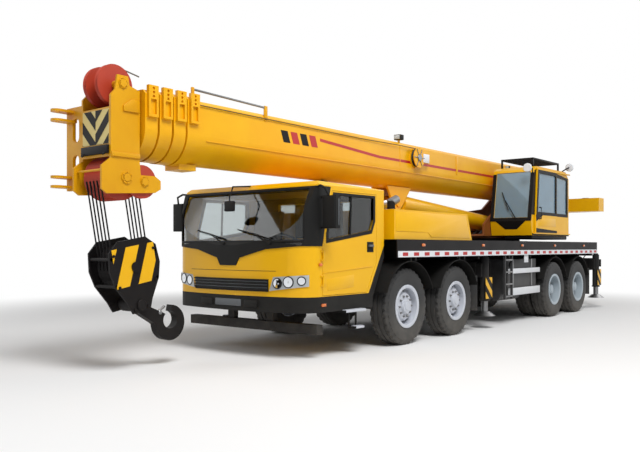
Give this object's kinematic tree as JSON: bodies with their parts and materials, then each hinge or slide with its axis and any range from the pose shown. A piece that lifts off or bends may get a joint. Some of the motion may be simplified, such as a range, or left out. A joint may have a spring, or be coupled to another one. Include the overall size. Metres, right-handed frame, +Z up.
{
  "type": "truck crane",
  "caption": "Road-going truck crane with a low driver's cab, slewing superstructure, operator's cab, telescopic boom stowed forward, outriggers and a hanging hook block",
  "frame": {"origin": "on the ground, at the middle of the crane's length and width as stowed for the road", "axes": "+X forward, +Y to the left, +Z up"},
  "size_m": [13.8598, 3.08, 3.465],
  "materials": {
    "tyre_rubber": "matte black rubber",
    "front_rim_paint": "pale silver paint, satin",
    "rear_rim_paint": "grey paint, dusty",
    "chassis_paint": "dark chassis paint, satin",
    "outrigger_paint": "dark paint, satin",
    "bare_steel": "worn bare steel",
    "skirt_paint": "black deck and skirt paint",
    "black_plastic": "matte black plastic",
    "yellow_paint": "warm yellow gloss paint",
    "dark_glass": "tinted glass",
    "lamp_lens": "clear lamp lens",
    "tank_paint": "grey tank paint",
    "turret_paint": "orange-brown frame paint",
    "sheave_paint": "red sheave paint",
    "rod_chrome": "hard chrome rod",
    "block_paint": "black paint"
  },
  "bodies": {
    "carrier": {"chassis_frame": "chassis_paint", "axles": "chassis_paint", "outrigger_boxes": "outrigger_paint", "deck": "skirt_paint", "mudguards": "black_plastic", "cab_shell": "yellow_paint", "cab_glass": "dark_glass", "cab_trim": "black_plastic", "lamps": "lamp_lens", "cab_inside": "black_plastic", "engine_hood": "yellow_paint", "engine": "chassis_paint", "side_fittings": "tank_paint"},
    "wheel_1_left": {"tyre_1_left": "tyre_rubber", "rim_1_left": "front_rim_paint"},
    "knuckle_1_left": {"knuckle_1_left": "chassis_paint"},
    "wheel_1_right": {"tyre_1_right": "tyre_rubber", "rim_1_right": "front_rim_paint"},
    "knuckle_1_right": {"knuckle_1_right": "chassis_paint"},
    "wheel_2_left": {"tyre_2_left": "tyre_rubber", "rim_2_left": "front_rim_paint"},
    "knuckle_2_left": {"knuckle_2_left": "chassis_paint"},
    "wheel_2_right": {"tyre_2_right": "tyre_rubber", "rim_2_right": "front_rim_paint"},
    "knuckle_2_right": {"knuckle_2_right": "chassis_paint"},
    "wheel_3_left": {"tyre_3_left": "tyre_rubber", "rim_3_left": "rear_rim_paint"},
    "wheel_3_right": {"tyre_3_right": "tyre_rubber", "rim_3_right": "rear_rim_paint"},
    "wheel_4_left": {"tyre_4_left": "tyre_rubber", "rim_4_left": "rear_rim_paint"},
    "wheel_4_right": {"tyre_4_right": "tyre_rubber", "rim_4_right": "rear_rim_paint"},
    "cab_door_left": {"cab_door_left": "yellow_paint"},
    "cab_door_right": {"cab_door_right": "yellow_paint"},
    "outrigger_beam_front_left": {"outrigger_beam_front_left": "outrigger_paint"},
    "outrigger_jack_front_left": {"outrigger_jack_front_left": "bare_steel"},
    "outrigger_beam_front_right": {"outrigger_beam_front_right": "outrigger_paint"},
    "outrigger_jack_front_right": {"outrigger_jack_front_right": "bare_steel"},
    "outrigger_beam_rear_left": {"outrigger_beam_rear_left": "outrigger_paint"},
    "outrigger_jack_rear_left": {"outrigger_jack_rear_left": "bare_steel"},
    "outrigger_beam_rear_right": {"outrigger_beam_rear_right": "outrigger_paint"},
    "outrigger_jack_rear_right": {"outrigger_jack_rear_right": "bare_steel"},
    "superstructure": {"turntable_frame": "turret_paint", "winches": "chassis_paint", "counterweight": "yellow_paint", "operator_cab_shell": "yellow_paint", "operator_cab_glass": "dark_glass", "operator_seat": "black_plastic"},
    "operator_door": {"operator_door": "yellow_paint"},
    "boom_base": {"boom_base": "yellow_paint"},
    "boom_section_2": {"boom_section_2": "yellow_paint"},
    "boom_section_3": {"boom_section_3": "yellow_paint"},
    "boom_section_4": {"boom_section_4": "yellow_paint"},
    "boom_section_5": {"boom_section_5": "yellow_paint", "head_sheaves": "sheave_paint"},
    "lift_barrel": {"lift_barrel": "yellow_paint"},
    "lift_rod": {"lift_rod": "rod_chrome"},
    "hook_block": {"hook_block": "block_paint"},
    "hook": {"hook": "bare_steel"}
  },
  "joints": [
    {"name": "steer_1_left", "type": "hinge", "parent": "carrier", "child": "knuckle_1_left", "pos_m": [2.37, 1.04, 0.562], "axis": [0, 0, 1], "range_deg": [-35, 35]},
    {"name": "spin_1_left", "type": "hinge", "parent": "knuckle_1_left", "child": "wheel_1_left", "pos_m": [2.37, 1.152, 0.562], "axis": [0, 1, 0], "continuous": true},
    {"name": "steer_1_right", "type": "hinge", "parent": "carrier", "child": "knuckle_1_right", "pos_m": [2.37, -1.04, 0.562], "axis": [0, 0, 1], "range_deg": [-35, 35]},
    {"name": "spin_1_right", "type": "hinge", "parent": "knuckle_1_right", "child": "wheel_1_right", "pos_m": [2.37, -1.152, 0.562], "axis": [0, 1, 0], "continuous": true},
    {"name": "steer_2_left", "type": "hinge", "parent": "carrier", "child": "knuckle_2_left", "pos_m": [0.9, 1.04, 0.562], "axis": [0, 0, 1], "range_deg": [-24.5, 24.5]},
    {"name": "spin_2_left", "type": "hinge", "parent": "knuckle_2_left", "child": "wheel_2_left", "pos_m": [0.9, 1.152, 0.562], "axis": [0, 1, 0], "continuous": true},
    {"name": "steer_2_right", "type": "hinge", "parent": "carrier", "child": "knuckle_2_right", "pos_m": [0.9, -1.04, 0.562], "axis": [0, 0, 1], "range_deg": [-24.5, 24.5]},
    {"name": "spin_2_right", "type": "hinge", "parent": "knuckle_2_right", "child": "wheel_2_right", "pos_m": [0.9, -1.152, 0.562], "axis": [0, 1, 0], "continuous": true},
    {"name": "spin_3_left", "type": "hinge", "parent": "carrier", "child": "wheel_3_left", "pos_m": [-3.205, 1.02, 0.562], "axis": [0, 1, 0], "continuous": true},
    {"name": "spin_3_right", "type": "hinge", "parent": "carrier", "child": "wheel_3_right", "pos_m": [-3.205, -1.02, 0.562], "axis": [0, 1, 0], "continuous": true},
    {"name": "spin_4_left", "type": "hinge", "parent": "carrier", "child": "wheel_4_left", "pos_m": [-4.555, 1.02, 0.562], "axis": [0, 1, 0], "continuous": true},
    {"name": "spin_4_right", "type": "hinge", "parent": "carrier", "child": "wheel_4_right", "pos_m": [-4.555, -1.02, 0.562], "axis": [0, 1, 0], "continuous": true},
    {"name": "door_left", "type": "hinge", "parent": "carrier", "child": "cab_door_left", "pos_m": [4.273, 1.265, 1.2], "axis": [0, 0, -1], "range_deg": [0, 65]},
    {"name": "door_right", "type": "hinge", "parent": "carrier", "child": "cab_door_right", "pos_m": [4.273, -1.265, 1.2], "axis": [0, 0, 1], "range_deg": [0, 65]},
    {"name": "extend_front_left", "type": "slide", "parent": "carrier", "child": "outrigger_beam_front_left", "axis": [0, 1, 0], "range_m": [0, 1.9]},
    {"name": "jack_front_left", "type": "slide", "parent": "outrigger_beam_front_left", "child": "outrigger_jack_front_left", "axis": [0, 0, -1], "range_m": [0, 0.55]},
    {"name": "extend_front_right", "type": "slide", "parent": "carrier", "child": "outrigger_beam_front_right", "axis": [0, -1, 0], "range_m": [0, 1.9]},
    {"name": "jack_front_right", "type": "slide", "parent": "outrigger_beam_front_right", "child": "outrigger_jack_front_right", "axis": [0, 0, -1], "range_m": [0, 0.55]},
    {"name": "extend_rear_left", "type": "slide", "parent": "carrier", "child": "outrigger_beam_rear_left", "axis": [0, 1, 0], "range_m": [0, 1.9]},
    {"name": "jack_rear_left", "type": "slide", "parent": "outrigger_beam_rear_left", "child": "outrigger_jack_rear_left", "axis": [0, 0, -1], "range_m": [0, 0.55]},
    {"name": "extend_rear_right", "type": "slide", "parent": "carrier", "child": "outrigger_beam_rear_right", "axis": [0, -1, 0], "range_m": [0, 1.9]},
    {"name": "jack_rear_right", "type": "slide", "parent": "outrigger_beam_rear_right", "child": "outrigger_jack_rear_right", "axis": [0, 0, -1], "range_m": [0, 0.55]},
    {"name": "slew", "type": "hinge", "parent": "carrier", "child": "superstructure", "pos_m": [-2.83, 0, 1.61], "axis": [0, 0, 1], "continuous": true},
    {"name": "operator_door_slide", "type": "slide", "parent": "superstructure", "child": "operator_door", "axis": [-1, 0, 0], "range_m": [0, 0.65]},
    {"name": "luff", "type": "hinge", "parent": "superstructure", "child": "boom_base", "pos_m": [-5.03, 0, 2.8], "axis": [0, -1, 0], "range_deg": [0, 80]},
    {"name": "telescope_2", "type": "slide", "parent": "boom_base", "child": "boom_section_2", "axis": [1, 0, 0], "range_m": [0, 8]},
    {"name": "telescope_3", "type": "slide", "parent": "boom_section_2", "child": "boom_section_3", "axis": [1, 0, 0], "range_m": [0, 8]},
    {"name": "telescope_4", "type": "slide", "parent": "boom_section_3", "child": "boom_section_4", "axis": [1, 0, 0], "range_m": [0, 8]},
    {"name": "telescope_5", "type": "slide", "parent": "boom_section_4", "child": "boom_section_5", "axis": [1, 0, 0], "range_m": [0, 8]},
    {"name": "lift_swing", "type": "hinge", "parent": "superstructure", "child": "lift_barrel", "pos_m": [-3.13, 0, 1.905], "axis": [0, -1, 0], "range_deg": [0, 88.3]},
    {"name": "lift_stroke", "type": "slide", "parent": "lift_barrel", "child": "lift_rod", "axis": [0.9972, 0, 0.0748], "range_m": [0, 2.6]},
    {"name": "block_swing", "type": "hinge", "parent": "boom_section_5", "child": "hook_block", "pos_m": [6.52, 0, 2.2], "axis": [0, -1, 0], "range_deg": [-70, 0]},
    {"name": "hook_swing", "type": "hinge", "parent": "hook_block", "child": "hook", "pos_m": [6.26786, 0, 0.77006], "axis": [0, -1, 0], "range_deg": [0, 55]}
  ],
  "couplings": [
    {"joint": "steer_1_right", "follows": "steer_1_left", "ratio": 1},
    {"joint": "steer_2_left", "follows": "steer_1_left", "ratio": 0.7},
    {"joint": "steer_2_right", "follows": "steer_1_left", "ratio": 0.7},
    {"joint": "telescope_3", "follows": "telescope_2", "ratio": 1},
    {"joint": "telescope_4", "follows": "telescope_2", "ratio": 1},
    {"joint": "telescope_5", "follows": "telescope_2", "ratio": 1},
    {"joint": "lift_swing", "follows": "luff", "ratio": 1.1028},
    {"joint": "lift_stroke", "follows": "luff", "m_per_rad": 1.8601},
    {"joint": "block_swing", "follows": "luff", "ratio": -0.875},
    {"joint": "hook_swing", "follows": "luff", "ratio": 0.6875}
  ]
}
